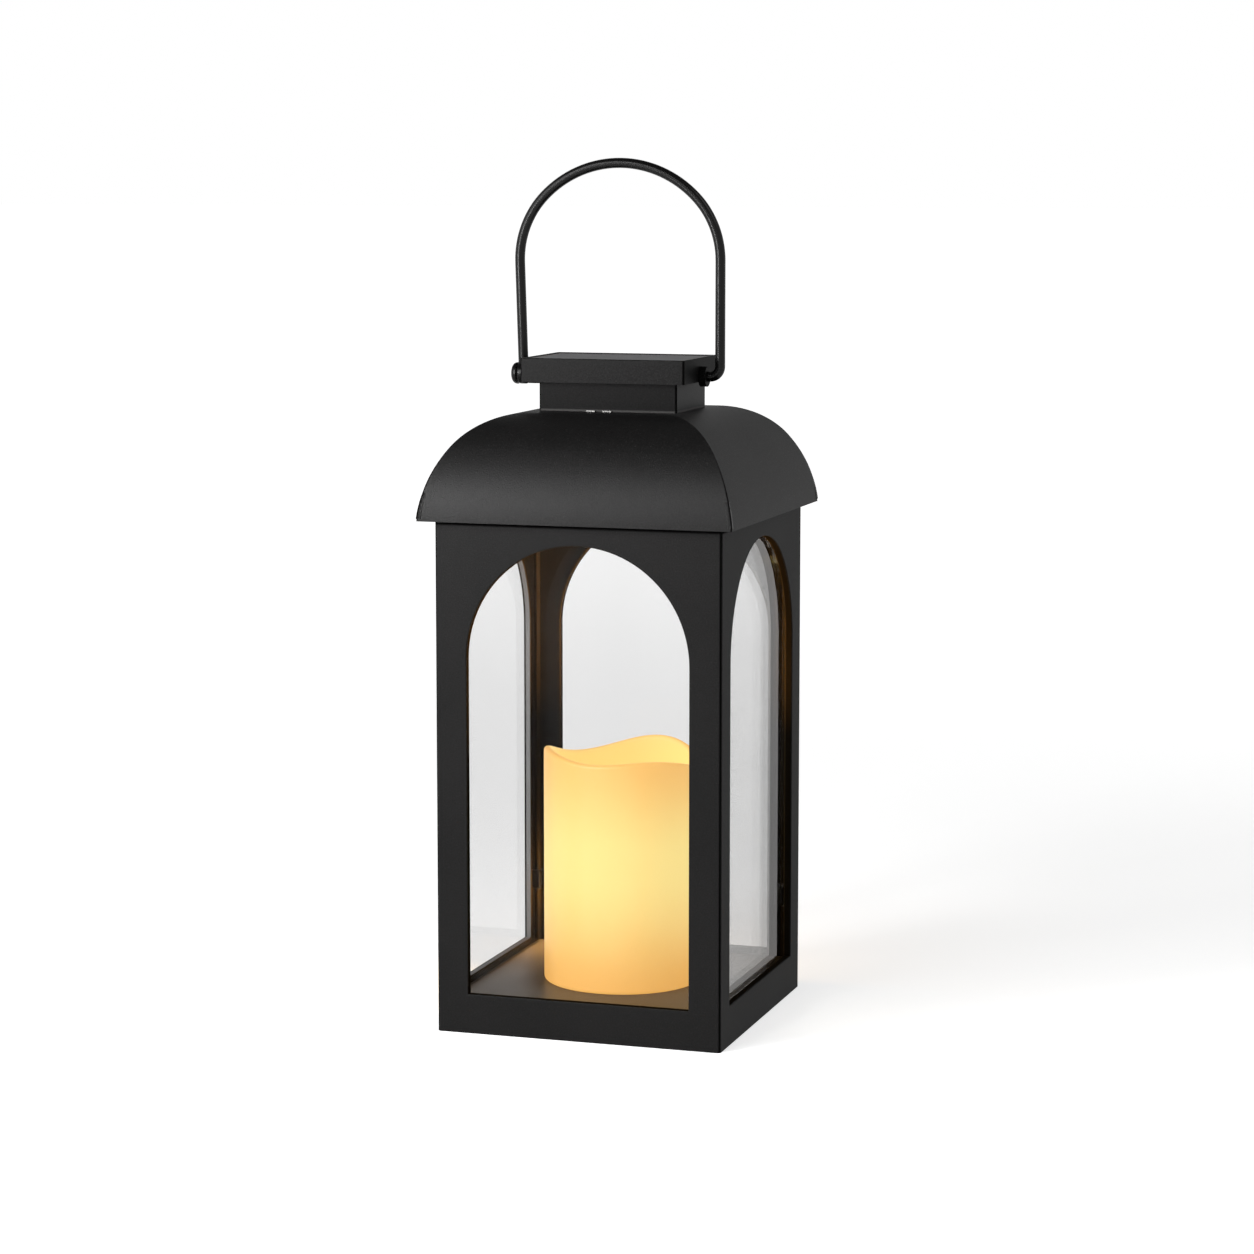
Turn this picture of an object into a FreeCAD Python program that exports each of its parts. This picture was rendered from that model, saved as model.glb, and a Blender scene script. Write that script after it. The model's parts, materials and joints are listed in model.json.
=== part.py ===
"""Solar candle lantern: a square sheet-metal house with arched windows, a vaulted roof,
a solar head with a swinging wire handle, and a flameless candle inside.

Millimetres. The origin is the middle of the footprint on the ground, +Z is up and the
front faces -Y. The four sides are alike, so most pieces are drawn for the front side
and turned about Z.
"""
import FreeCAD
import Part
import math
import os
from FreeCAD import Vector

# House
body_width = 140.0          # square, over the outside of the walls
wall_height = 250.0         # ground to the top of the walls, inside the roof
sheet = 0.8                 # thickness of the walls, floor and seat ring
corner_bend = 0.6           # outer bend radius at the vertical corners
lip_depth = 3.6             # outside of a wall to the inner edge of its folded lips
stile_width = 15.5          # wall left beside a window
sill_height = 18.8          # ground to the bottom of a window
top_rail = 15.9             # top of a window to the top of the wall
lip_bend = 0.5              # outer bend radius round a window
base_flange = 9.0           # foot folded inwards on the ground, from the outside
top_flange = 12.0           # flange folded inwards under the roof, from the outside

# Floor tray
floor_height = 15.4         # ground to the top of the floor
tray_gap = 0.2              # tray to the lips of the walls
tray_bend = 2.0             # outer radius of the tray's upright corners

# Panes and their clips
pane_thickness = 2.0
pane_corner_gap = 2.6       # edge of one pane to the face of the next
clip_thickness = 0.6
clip_width = 9.0
clip_reach = 3.0            # finger over the pane
clip_foot = 4.0             # foot on the wall
clip_gap = 0.3              # pane edge to the clip
clip_height = 32.0          # floor to the middle of the lower clips

# Roof
eave_overhang = 6.5         # eave beyond a wall
eave_drop = 6.0             # eave below the top of the walls
roof_rise = 49.2            # eave to crown
roof_sheet = 0.8
eave_angle = 86.3           # slope at the eave, degrees from level
shoulder_angle = 54.6       # slope where the two arcs of the vault meet
crown_margin = 0.5          # flat crown beyond the neck
crown_hole_width = 44.0     # opening in the crown under the head
crown_hole_depth = 26.0
hem_width = 1.5             # seam strip along each hip
hem_height = 0.3            # seam strip above the panels
hem_start = 1.2             # seam strip above the eave
hem_sweep = 40.0            # share of the lower arc that the strip follows, percent
seat_gap = 0.2              # seat ring to the inside of the roof
seat_ring_width = 16.0
roof_screw_place = 42.0     # roof screws each side of the middle
roof_screw_inset = 8.0      # outside of the wall to a roof screw

# Screws
screw_diameter = 3.0
screw_head = 5.6
screw_head_height = 1.8
screw_length = 6.0
screw_gap = 0.1             # screw in its clearance hole
nut_width = 5.5
nut_height = 2.2

# Solar head
neck_width = 68.3
neck_depth = 47.4
neck_height = 13.6
neck_wall = 1.6
neck_bend = 1.0
cap_overhang_x = 6.5        # cap beyond the neck
cap_overhang_y = 4.0
cap_height = 11.4
cap_shift = -1.7            # middle of the cap and handle beside the middle of the neck
cap_wall = 1.8
cap_bend = 1.2
cap_edge = 0.6              # rounding of the cap's top edge
cap_floor = 1.5
panel_inset = 0.4           # panel below the rim
panel_thickness = 2.4
panel_gap = 0.4             # panel to the rim
panel_ledge = 1.5           # ledge under the panel's edge
cell_count = 6              # strips of the solar panel
cell_gap = 0.6
cell_margin = 2.5
cell_thickness = 0.3
head_post = 5.8             # square screw posts in the corners of the neck
head_screw_inset = 6.0      # end of the neck to a screw into the crown
head_line = 3.4             # screws and lead hole behind the middle of the neck
tab_width = 4.2             # locking tabs of the neck on the crown
tab_reach = 1.4
tab_thickness = 0.6
tab_spacing = 8.2
tab_shift = -4.0            # middle of a pair of tabs beside the middle of the neck

# Power unit inside the head
cell_diameter = 14.2        # rechargeable cell
cell_length = 49.0
cell_nub_diameter = 5.0
cell_nub_length = 1.2
cell_offset = -9.0          # cell's axis from the middle of the head
cradle_floor = 1.0
cradle_wall = 1.4
cradle_gap = 0.15           # cell in its cradle
contact_thickness = 0.4
board_length = 44.0
board_width = 13.0
board_thickness = 1.4
board_height = 4.0          # neck floor to the underside of the board
board_wall_gap = 3.4        # board to the back wall of the neck
board_post = 5.0
switch_length = 9.0
switch_height = 4.2
switch_reach = 3.2          # switch body towards the board
slider_width = 3.0
slider_height = 2.2
slider_proud = 1.2          # slider beyond the back of the neck
slider_travel = 2.4
slider_gap = 0.2

# Handle
wire = 4.8                  # wire diameter
wire_gap = 0.05             # running gap of the pivots, on the radius
leg_gap = 7.1               # cap to the legs
arch_rise = 45.9            # spring of the arch to its top, middle of the wire
arch_spring = 54.7          # pivot to the spring of the arch
arch_join = 45.0            # slope where the two arcs of the arch meet
left_lean = 1.8             # left leg leans in towards its foot, degrees
elbow_bend = 4.8            # middle of the wire, at the right foot
pivot_height = 2.5          # underside of the cap to the pivot
boss_diameter = 9.6
boss_reach = 3.4            # right boss beyond the cap
boss_side_gap = 0.4         # left boss to the eye of the handle
pivot_depth = 7.0           # wire and pin inside the cap
pivot_block = 11.0          # length of the blocks inside the cap
eye_diameter = 10.2
eye_round = 1.2
pin_diameter = 4.0
pin_head = 10.4
pin_head_height = 2.6
pin_head_round = 2.1        # rounding of the head's rim
pin_head_gap = 0.3

# Candle
candle_diameter = 76.5
candle_wall = 4.0
candle_height = 111.0       # floor to the mean height of the rim
candle_foot_round = 2.5
rim_wave_1 = 1.0            # waves of the melted rim: once, twice and three times round
rim_wave_2 = 1.8
rim_wave_3 = 2.5
rim_turn_1 = -152.0         # where each wave is highest, degrees from +X
rim_turn_2 = 66.0
rim_turn_3 = -43.0
rim_points = 24             # points that the rim's curve goes through
plug_height = 8.0
plug_gap = 0.25             # plug in the candle
plug_floor = 3.0
plug_wall = 2.0
candle_screw_place = 24.0   # candle screws each side of the middle
lamp_post_diameter = 14.0
lamp_post_height = 44.0     # plug floor to the lamp board
lamp_board_diameter = 22.0
lamp_board_thickness = 1.6
lamp_diameter = 5.0
lamp_rim = 5.8
lamp_rim_height = 1.0
lamp_height = 8.6
diffuser_drop = 22.0        # mean rim to the diffuser
diffuser_thickness = 1.5
diffuser_dish = 3.0
diffuser_ledge = 1.2
lead_hole = 6.0
grommet_flange = 9.0
grommet_flange_height = 1.0
grommet_bore = 2.4

# Worked out from the sizes above
half = body_width / 2
window_width = body_width - 2 * stile_width
window_half = window_width / 2
window_top = wall_height - top_rail
window_spring = window_top - window_half
pane_outer = half - lip_depth
pane_inner = pane_outer - pane_thickness
pane_half = pane_inner - pane_corner_gap
tray_half = half - lip_depth - tray_gap
eave_half = half + eave_overhang
eave_height = wall_height - eave_drop
crown_height = eave_height + roof_rise
crown_half = neck_width / 2 + crown_margin
neck_top = crown_height + neck_height
cap_half_x = neck_width / 2 + cap_overhang_x
cap_half_y = neck_depth / 2 + cap_overhang_y
cap_top = neck_top + cap_height
pivot_z = neck_top + pivot_height
leg_x = cap_half_x + leg_gap + wire / 2
spring_z = pivot_z + arch_spring
candle_radius = candle_diameter / 2
candle_bore = candle_radius - candle_wall
rim_mean = floor_height + candle_height
turns = {"front": 0, "right": 90, "back": 180, "left": 270}
through = 1.0               # cutters run this far past what they cut
touching = 1e-6             # two places this near are the same
origin = Vector(0, 0, 0)
up = Vector(0, 0, 1)


def save(name, shape):
    """Write one piece, or a group of like pieces, to its STEP file."""
    shape.exportStep("parts/" + name + ".step")


def block(x0, x1, y0, y1, z0, z1):
    """A box between two corners."""
    return Part.makeBox(x1 - x0, y1 - y0, z1 - z0, Vector(x0, y0, z0))


def rod(radius, start, end):
    """A cylinder from one point to another."""
    along = end - start
    return Part.makeCylinder(radius, along.Length, start, along)


def turned(shape, degrees):
    """A copy of a front piece, turned about Z to another side."""
    copy = shape.copy()
    copy.rotate(origin, up, degrees)
    return copy


def face_of(edges):
    """A flat face inside a closed run of edges."""
    return Part.Face(Part.Wire(edges))


def polygon(points):
    """A flat face with straight sides."""
    return Part.Face(Part.makePolygon(points + points[:1]))


def arc(start, middle, end):
    """An arc edge through three points."""
    return Part.Arc(start, middle, end).toShape()


def line(start, end):
    """A straight edge."""
    return Part.LineSegment(start, end).toShape()


def rounded_block(half_x, half_y, z0, z1, radius):
    """An upright box about the Z axis with rounded corners."""
    box = block(-half_x, half_x, -half_y, half_y, z0, z1)
    uprights = [e for e in box.Edges if abs(e.tangentAt(e.FirstParameter).z) > 0.5]
    return box.makeFillet(radius, uprights)


def two_arcs(run, rise, start_angle, join_angle):
    """Radii of two tangent arcs that climb from a start slope to level over run and rise."""
    sin_start = math.sin(math.radians(start_angle))
    cos_start = math.cos(math.radians(start_angle))
    sin_join = math.sin(math.radians(join_angle))
    cos_join = math.cos(math.radians(join_angle))
    lower_run = sin_start - sin_join
    lower_rise = cos_join - cos_start
    upper_rise = 1 - cos_join
    scale = lower_run * upper_rise - lower_rise * sin_join
    lower = (run * upper_rise - rise * sin_join) / scale
    upper = (lower_run * rise - lower_rise * run) / scale
    return lower, upper


def arch_face(half_width, bottom, spring, y):
    """An arched outline, straight sides under a half circle, in the plane of a front wall."""
    left_foot = Vector(-half_width, y, bottom)
    right_foot = Vector(half_width, y, bottom)
    left_spring = Vector(-half_width, y, spring)
    right_spring = Vector(half_width, y, spring)
    top = Vector(0, y, spring + half_width)
    edges = [line(left_foot, right_foot), line(right_foot, right_spring)]
    edges += [arc(right_spring, top, left_spring), line(left_spring, left_foot)]
    return face_of(edges)


def screw(place, direction, length):
    """A screw with a tapered head: the underside of its head is at place, its shank runs along direction."""
    shank = Part.makeCylinder(screw_diameter / 2, length, place, direction)
    head = Part.makeCone(screw_head / 2, screw_diameter / 2, screw_head_height, place, direction * -1)
    return shank.fuse(head).removeSplitter()


def nut(place, direction):
    """A hexagon nut on a screw, with its face at place."""
    radius = nut_width / math.sqrt(3)
    corners = [Vector(radius * math.cos(math.radians(60 * i)), radius * math.sin(math.radians(60 * i)), 0)
               for i in range(6)]
    hexagon = polygon(corners).extrude(Vector(0, 0, nut_height))
    hexagon = hexagon.cut(rod(screw_diameter / 2 + screw_gap, Vector(0, 0, -through),
                              Vector(0, 0, nut_height + through)))
    hexagon.Placement = FreeCAD.Placement(place, FreeCAD.Rotation(up, direction))
    return hexagon


side_radius = two_arcs(leg_x, arch_rise, 90, arch_join)[0]
side_x = leg_x - side_radius
lean_slope = math.tan(math.radians(left_lean))
lean_start_x = side_x + side_radius * math.cos(math.radians(left_lean))
lean_drop = arch_spring - side_radius * math.sin(math.radians(left_lean))
eye_x = lean_start_x - lean_drop * lean_slope


# Walls: one pressed sheet for each side, its corner flanges welded back to back on the mitre

def wall_plan():
    """Plan of a front wall: its face, rounded corners and flanges along the two mitres."""
    tangent = corner_bend / math.tan(math.radians(22.5))
    diagonal = math.sqrt(0.5)
    inner_x = half - sheet - sheet * math.sqrt(2)

    def corner(side):
        face_end = Vector(side * (half - tangent), -half, 0)
        mitre_start = Vector(side * (half - tangent * diagonal), -half + tangent * diagonal, 0)
        centre = face_end + Vector(0, corner_bend, 0)
        tip = Vector(side * half, -half, 0)
        bulge = centre + (tip - centre).normalize() * corner_bend
        mitre_end = Vector(side * (half - lip_depth), -half + lip_depth, 0)
        fold_end = mitre_end + Vector(-side * sheet * diagonal, -sheet * diagonal, 0)
        inner = Vector(side * inner_x, -half + sheet, 0)
        return face_end, bulge, mitre_start, mitre_end, fold_end, inner

    a, a_bulge, b, c, d, e = corner(1)
    p, p_bulge, q, r, s, t = corner(-1)
    edges = [line(p, a), arc(a, a_bulge, b), line(b, c), line(c, d), line(d, e)]
    edges += [line(e, t), line(t, s), line(s, r), line(r, q), arc(q, p_bulge, p)]
    return face_of(edges)


def flange(depth, z0):
    """A flange folded inwards from a front wall, mitred to its neighbours."""
    start = half - sheet / 2
    end = half - depth
    corners = [Vector(-start, -start, z0), Vector(start, -start, z0),
               Vector(end, -end, z0), Vector(-end, -end, z0)]
    return polygon(corners).extrude(Vector(0, 0, sheet))


def make_wall():
    """A front wall: face, window with its folded lip, flanges at the foot and the top."""
    outside = -half
    face = wall_plan().extrude(Vector(0, 0, wall_height))
    lip = arch_face(window_half + sheet, sill_height - sheet, window_spring, outside)
    wall = face.fuse([lip.extrude(Vector(0, lip_depth, 0)), flange(base_flange, 0),
                      flange(top_flange, wall_height - sheet)])
    opening = arch_face(window_half, sill_height, window_spring, outside - through)
    wall = wall.cut(opening.extrude(Vector(0, lip_depth + 2 * through, 0))).removeSplitter()
    rim = [e for e in wall.Edges if all(abs(v.Y - outside) < touching and abs(v.X) < window_half + lip_bend
                                        and v.Z > sheet and v.Z < wall_height - sheet for v in e.Vertexes)]
    return wall.makeFillet(lip_bend, rim)


def roof_screw_places():
    """Roof screws, two along the front wall and two along the back one."""
    reach = half - roof_screw_inset
    return [(x, y) for x in (-roof_screw_place, roof_screw_place) for y in (-reach, reach)]


def clearance_holes(places, z0, z1):
    """Holes that let screws through a level plate."""
    radius = screw_diameter / 2 + screw_gap
    return [rod(radius, Vector(x, y, z0), Vector(x, y, z1)) for x, y in places]


def make_walls():
    wall = make_wall()
    holes = clearance_holes(roof_screw_places(), wall_height - sheet - through, wall_height + through)
    for side, degrees in turns.items():
        piece = turned(wall, degrees)
        if side in ("front", "back"):
            piece = piece.cut(holes)
        save("wall_" + side, piece)


# Panes: arched sheets behind the lips, standing on the floor, held by folded clips

def make_panes():
    outline = arch_face(pane_half, floor_height, window_spring, -pane_outer)
    pane = outline.extrude(Vector(0, pane_thickness, 0))
    for side, degrees in turns.items():
        save("pane_" + side, turned(pane, degrees))


def clip(edge):
    """A clip drawn beside the pane's edge: foot on the wall, riser past the edge, finger over the pane."""
    wall_face = -half + sheet
    over = -pane_inner + clip_thickness
    riser = edge + clip_gap
    points = [(riser + clip_foot, wall_face), (riser, wall_face), (riser, over - clip_thickness),
              (edge - clip_reach, over - clip_thickness), (edge - clip_reach, over),
              (riser + clip_thickness, over), (riser + clip_thickness, wall_face + clip_thickness),
              (riser + clip_foot, wall_face + clip_thickness)]
    outline = polygon([Vector(x, y, -clip_width / 2) for x, y in points])
    return outline.extrude(Vector(0, 0, clip_width))


def make_clips():
    solids = []
    right = clip(pane_half)
    right.translate(Vector(0, 0, floor_height + clip_height))
    left = right.mirror(origin, Vector(1, 0, 0))
    top = clip(pane_half)
    top.rotate(origin, Vector(0, 1, 0), -90)
    top.translate(Vector(0, 0, window_spring))
    for degrees in turns.values():
        solids += [turned(piece, degrees) for piece in (right, left, top)]
    save("pane_clips", Part.makeCompound(solids))


# Floor tray: a raised floor with a skirt that stands on the feet of the walls

def candle_screw_places():
    return [(-candle_screw_place, 0), (candle_screw_place, 0)]


def make_tray():
    tray = rounded_block(tray_half, tray_half, sheet, floor_height, tray_bend)
    inside = tray_half - sheet
    tray = tray.cut(rounded_block(inside, inside, sheet - through, floor_height - sheet, tray_bend - sheet))
    holes = clearance_holes(candle_screw_places(), 0, floor_height + through)
    holes.append(rod(lead_hole / 2, origin, Vector(0, 0, floor_height + through)))
    save("floor_tray", tray.cut(holes))


# Roof: four vaulted panels that meet at the hips, with a seam strip down each hip

vault_run = eave_half - crown_half
lower_radius, upper_radius = two_arcs(vault_run, roof_rise, eave_angle, shoulder_angle)
lower_centre = Vector(0, -eave_half + lower_radius * math.sin(math.radians(eave_angle)),
                      eave_height - lower_radius * math.cos(math.radians(eave_angle)))
upper_centre = Vector(0, -crown_half, crown_height - upper_radius)


def on_vault(angle, offset):
    """A point of the front panel's profile where the slope is angle, offset outwards."""
    slope = math.radians(angle)
    lower = angle > shoulder_angle
    centre = lower_centre if lower else upper_centre
    radius = (lower_radius if lower else upper_radius) + offset
    return centre + Vector(0, -math.sin(slope), math.cos(slope)) * radius


def vault_edges(offset, start_angle, end_angle):
    """The arcs of the profile from one slope down to another, offset outwards."""
    edges = []
    if start_angle > shoulder_angle:
        last = max(end_angle, shoulder_angle)
        edges.append(arc(on_vault(start_angle, offset), on_vault((start_angle + last) / 2, offset),
                         on_vault(last, offset)))
    if end_angle < shoulder_angle:
        first = min(start_angle, shoulder_angle)
        edges.append(arc(on_vault(first, offset), on_vault((first + end_angle) / 2, offset),
                         on_vault(end_angle, offset)))
    return edges


def vault_sheet(offset, thickness, start_angle):
    """A long sheet bent to the front panel's profile, from a slope up to the middle of the crown."""
    outer = vault_edges(offset, start_angle, 0)
    inner = vault_edges(offset - thickness, start_angle, 0)
    top = crown_height + offset
    ridge_outer = Vector(0, 0, top)
    ridge_inner = Vector(0, 0, top - thickness)
    edges = [line(on_vault(start_angle, offset - thickness), on_vault(start_angle, offset))] + outer
    edges += [line(on_vault(0, offset), ridge_outer), line(ridge_outer, ridge_inner)]
    edges += [line(ridge_inner, on_vault(0, offset - thickness))] + inner
    profile = Part.Face(Part.Wire(Part.sortEdges(edges)[0]))
    profile.translate(Vector(-eave_half - through, 0, 0))
    return profile.extrude(Vector(2 * (eave_half + through), 0, 0))


def wedge(inset):
    """The space of a front piece between the two hips, less an inset along each hip."""
    far = eave_half + 2 * through
    shift = inset * math.sqrt(2)
    corners = [Vector(0, -shift, 0), Vector(-far + shift, -far, 0), Vector(far - shift, -far, 0)]
    return polygon(corners).extrude(Vector(0, 0, crown_height + through))


def make_roof():
    panel = vault_sheet(0, roof_sheet, eave_angle).common(wedge(0))
    holes = clearance_holes(head_screw_places(), eave_height, crown_height + through)
    holes.append(block(-crown_hole_width / 2, crown_hole_width / 2,
                       -crown_hole_depth / 2, crown_hole_depth / 2,
                       eave_height, crown_height + through))
    for side, degrees in turns.items():
        save("roof_" + side, turned(panel, degrees).cut(holes))


def make_hip_seams():
    """Tapered strips that cover the lower part of each hip: each is the outer skin of two panels."""
    start = eave_angle - math.degrees(hem_start / lower_radius)
    end = start - (eave_angle - shoulder_angle) * hem_sweep / 100
    edges = vault_edges(0, start, end) + vault_edges(hem_height, start, end)
    edges += [line(on_vault(start, 0), on_vault(start, hem_height))]
    edges += [line(on_vault(end, 0), on_vault(end, hem_height))]
    profile = Part.Face(Part.Wire(Part.sortEdges(edges)[0]))
    profile.translate(Vector(-eave_half - through, 0, 0))
    skin = profile.extrude(Vector(2 * (eave_half + through), 0, 0))
    half_strip = skin.common(wedge(0)).cut(wedge(hem_width))
    right = half_strip.common(block(0, eave_half + through, -eave_half - through, 0, 0, crown_height))
    left = half_strip.common(block(-eave_half - through, 0, -eave_half - through, 0, 0, crown_height))
    strips = [turned(right.fuse(turned(left, 90)).removeSplitter(), degrees) for degrees in turns.values()]
    save("hip_seams", Part.makeCompound(strips))


def make_seat_ring():
    """The level ring inside the eave that the roof is welded to and the walls are screwed to."""
    level = wall_height + sheet
    slope = math.degrees(math.acos((level - lower_centre.z) / (lower_radius - roof_sheet)))
    outer = -on_vault(slope, -roof_sheet).y - seat_gap
    inner = half - seat_ring_width
    ring = block(-outer, outer, -outer, outer, wall_height, level)
    ring = ring.cut(block(-inner, inner, -inner, inner, wall_height - through, level + through))
    holes = clearance_holes(roof_screw_places(), wall_height - through, level + through)
    save("roof_seat_ring", ring.cut(holes))


def make_roof_screws():
    places = [Vector(x, y, 0) for x, y in roof_screw_places()]
    screws = [screw(place + up * (wall_height + sheet), up * -1, screw_length) for place in places]
    nuts = [nut(place + up * (wall_height - sheet), up * -1) for place in places]
    save("roof_screws", Part.makeCompound(screws))
    save("roof_nuts", Part.makeCompound(nuts))


# Solar head: a neck box on the crown, with the power unit, under a wider cap with the solar panel

neck_floor_top = crown_height + neck_wall


def head_screw_places():
    """Screws that hold the neck to the crown, at both ends beside the crown hole."""
    return [(side * (neck_width / 2 - head_screw_inset), head_line) for side in (-1, 1)]


def post_places():
    """Middles of the screw posts in the corners of the neck."""
    reach_x = neck_width / 2 - neck_wall - head_post / 2
    reach_y = neck_depth / 2 - neck_wall - head_post / 2
    return [(x, y) for x in (-reach_x, reach_x) for y in (-reach_y, reach_y)]


def make_neck():
    neck = rounded_block(neck_width / 2, neck_depth / 2, crown_height, neck_top, neck_bend)
    inside_x = neck_width / 2 - neck_wall
    inside_y = neck_depth / 2 - neck_wall
    neck = neck.cut(block(-inside_x, inside_x, -inside_y, inside_y, neck_floor_top, neck_top + through))
    side = head_post / 2
    posts = [block(x - side, x + side, y - side, y + side, neck_floor_top, neck_top)
             for x, y in post_places()]
    posts += [rod(board_post / 2, Vector(x, board_middle, neck_floor_top),
                  Vector(x, board_middle, board_bottom)) for x in board_post_places()]
    neck = neck.fuse(posts).removeSplitter()
    pilot = screw_diameter / 2 + screw_gap
    holes = [rod(pilot, Vector(x, y, neck_top - screw_length - through), Vector(x, y, neck_top + through))
             for x, y in post_places()]
    holes += clearance_holes(head_screw_places(), crown_height - through, neck_floor_top + through)
    holes.append(rod(lead_hole / 2, Vector(0, head_line, crown_height - through),
                     Vector(0, head_line, neck_floor_top + through)))
    slot = (slider_width + slider_travel) / 2 + slider_gap
    slider_half = slider_height / 2 + slider_gap
    holes.append(block(-slot, slot, neck_depth / 2 - neck_wall - through, neck_depth / 2 + through,
                       slider_z - slider_half, slider_z + slider_half))
    save("neck_box", neck.cut(holes))


def make_neck_tabs():
    """Locking tabs folded out over the crown along the front and back of the neck."""
    edge = -neck_depth / 2
    solids = []
    for degrees in (0, 180):
        for x in (tab_shift - tab_spacing / 2, tab_shift + tab_spacing / 2):
            tab = block(x - tab_width / 2, x + tab_width / 2, edge - tab_reach, edge,
                        crown_height, crown_height + tab_thickness)
            solids.append(turned(tab, degrees))
    save("neck_tabs", Part.makeCompound(solids))


def make_head_screws():
    below = crown_height - roof_sheet
    screws = [screw(Vector(x, y, below), up, screw_length) for x, y in head_screw_places()]
    nuts = [nut(Vector(x, y, neck_floor_top), up) for x, y in head_screw_places()]
    save("head_screws", Part.makeCompound(screws))
    save("head_nuts", Part.makeCompound(nuts))


panel_half_x = cap_half_x - cap_wall - panel_gap
panel_half_y = cap_half_y - cap_wall - panel_gap
panel_top = cap_top - panel_inset
panel_bottom = panel_top - panel_thickness
cap_floor_top = neck_top + cap_floor
beside_neck = Vector(cap_shift, 0, 0)


def make_cap():
    """The cap, drawn about its own middle and moved beside the neck before it is opened to the neck."""
    cap = rounded_block(cap_half_x, cap_half_y, neck_top, cap_top, cap_bend)
    top_edges = [e for e in cap.Edges if all(abs(v.Z - cap_top) < touching for v in e.Vertexes)]
    cap = cap.makeFillet(cap_edge, top_edges)
    inside_x = cap_half_x - cap_wall
    inside_y = cap_half_y - cap_wall
    shelf_x = inside_x - panel_ledge
    shelf_y = inside_y - panel_ledge
    cap = cap.cut([block(-inside_x, inside_x, -inside_y, inside_y, panel_bottom, cap_top + through),
                   block(-shelf_x, shelf_x, -shelf_y, shelf_y, cap_floor_top, cap_top + through)])
    boss = boss_diameter / 2
    blocks = []
    for side in (-1, 1):
        ends = sorted((side * shelf_x, side * (cap_half_x - pivot_block)))
        blocks.append(block(ends[0], ends[1], -boss, boss, cap_floor_top, panel_bottom))
    left_end = -(eye_x - wire / 2 - boss_side_gap)
    blocks.append(rod(boss, Vector(cap_half_x, 0, pivot_z), Vector(cap_half_x + boss_reach, 0, pivot_z)))
    blocks.append(rod(boss, Vector(left_end, 0, pivot_z), Vector(-cap_half_x, 0, pivot_z)))
    cap = cap.fuse(blocks).removeSplitter()
    bore_end = cap_half_x - pivot_depth - through
    right_start = Vector(cap_half_x + boss_reach + through, 0, pivot_z)
    left_start = Vector(left_end - through, 0, pivot_z)
    cap = cap.cut([rod(wire / 2 + wire_gap, right_start, Vector(bore_end, 0, pivot_z)),
                   rod(pin_diameter / 2 + wire_gap, left_start, Vector(-bore_end, 0, pivot_z))])
    cap.translate(beside_neck)
    mouth_x = neck_width / 2 - neck_wall - head_post
    mouth_y = neck_depth / 2 - neck_wall
    holes = clearance_holes(post_places(), neck_top - through, cap_floor_top + through)
    holes.append(block(-mouth_x, mouth_x, -mouth_y, mouth_y, neck_top - through, cap_floor_top + through))
    save("solar_cap", cap.cut(holes))


def make_cap_screws():
    screws = [screw(Vector(x, y, cap_floor_top), up * -1, screw_length) for x, y in post_places()]
    save("cap_screws", Part.makeCompound(screws))


def make_panel():
    """The panel's plate with shallow pockets, and the cell strips that lie in them."""
    plate = block(-panel_half_x, panel_half_x, -panel_half_y, panel_half_y, panel_bottom, panel_top)
    reach_x = panel_half_x - cell_margin
    reach_y = panel_half_y - cell_margin
    pitch = (2 * reach_x + cell_gap) / cell_count
    starts = [-reach_x + i * pitch for i in range(cell_count)]
    strips = [block(x, x + pitch - cell_gap, -reach_y, reach_y, panel_top - cell_thickness, panel_top)
              for x in starts]
    panel = plate.cut(strips)
    cells = Part.makeCompound(strips)
    for name, shape in (("solar_panel", panel), ("solar_cells", cells)):
        shape.translate(beside_neck)
        save(name, shape)


# Power unit: rechargeable cell in a cradle, charge board, slide switch at the back of the neck

board_bottom = neck_floor_top + board_height
board_back = neck_depth / 2 - neck_wall - board_wall_gap
board_middle = board_back - board_width / 2
board_top = board_bottom + board_thickness
slider_z = board_top + switch_height / 2


def board_post_places():
    return (-board_length / 2 + board_post, board_length / 2 - board_post)


def make_battery():
    axis_z = neck_floor_top + cradle_floor + cradle_gap + cell_diameter / 2
    start = Vector(-cell_length / 2, cell_offset, axis_z)
    can_end = start + Vector(cell_length - cell_nub_length, 0, 0)
    nub_end = start + Vector(cell_length, 0, 0)
    battery = rod(cell_diameter / 2, start, can_end).fuse(rod(cell_nub_diameter / 2, can_end, nub_end))
    save("battery_cell", battery.removeSplitter())
    bed = cell_diameter / 2 + cradle_gap
    end = cell_length / 2 + contact_thickness
    outer = bed + cradle_wall
    cradle = block(-end - cradle_wall, end + cradle_wall, cell_offset - outer, cell_offset + outer,
                   neck_floor_top, axis_z)
    hollow = rod(bed, Vector(-end, cell_offset, axis_z), Vector(end, cell_offset, axis_z))
    save("battery_cradle", cradle.cut(hollow))
    blade = cell_diameter / 4
    for name, x in (("contact_minus", -end), ("contact_plus", end - contact_thickness)):
        save(name, block(x, x + contact_thickness, cell_offset - blade, cell_offset + blade,
                         axis_z - blade, axis_z + blade))


def make_board():
    board = block(-board_length / 2, board_length / 2, board_back - board_width, board_back,
                  board_bottom, board_top)
    save("charge_board", board)
    back = neck_depth / 2 - neck_wall
    body = block(-switch_length / 2, switch_length / 2, board_back - switch_reach, back - slider_gap,
                 board_top, board_top + switch_height)
    slot = (slider_width + slider_travel) / 2 + slider_gap
    high = slider_height / 2 + slider_gap
    body = body.cut(block(-slot, slot, board_back, back + through, slider_z - high, slider_z + high))
    save("switch_body", body)
    start_x = -slider_travel / 2
    slider = block(start_x - slider_width / 2, start_x + slider_width / 2, board_back + slider_gap,
                   neck_depth / 2 + slider_proud, slider_z - slider_height / 2, slider_z + slider_height / 2)
    save("switch_slider", slider)


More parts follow.
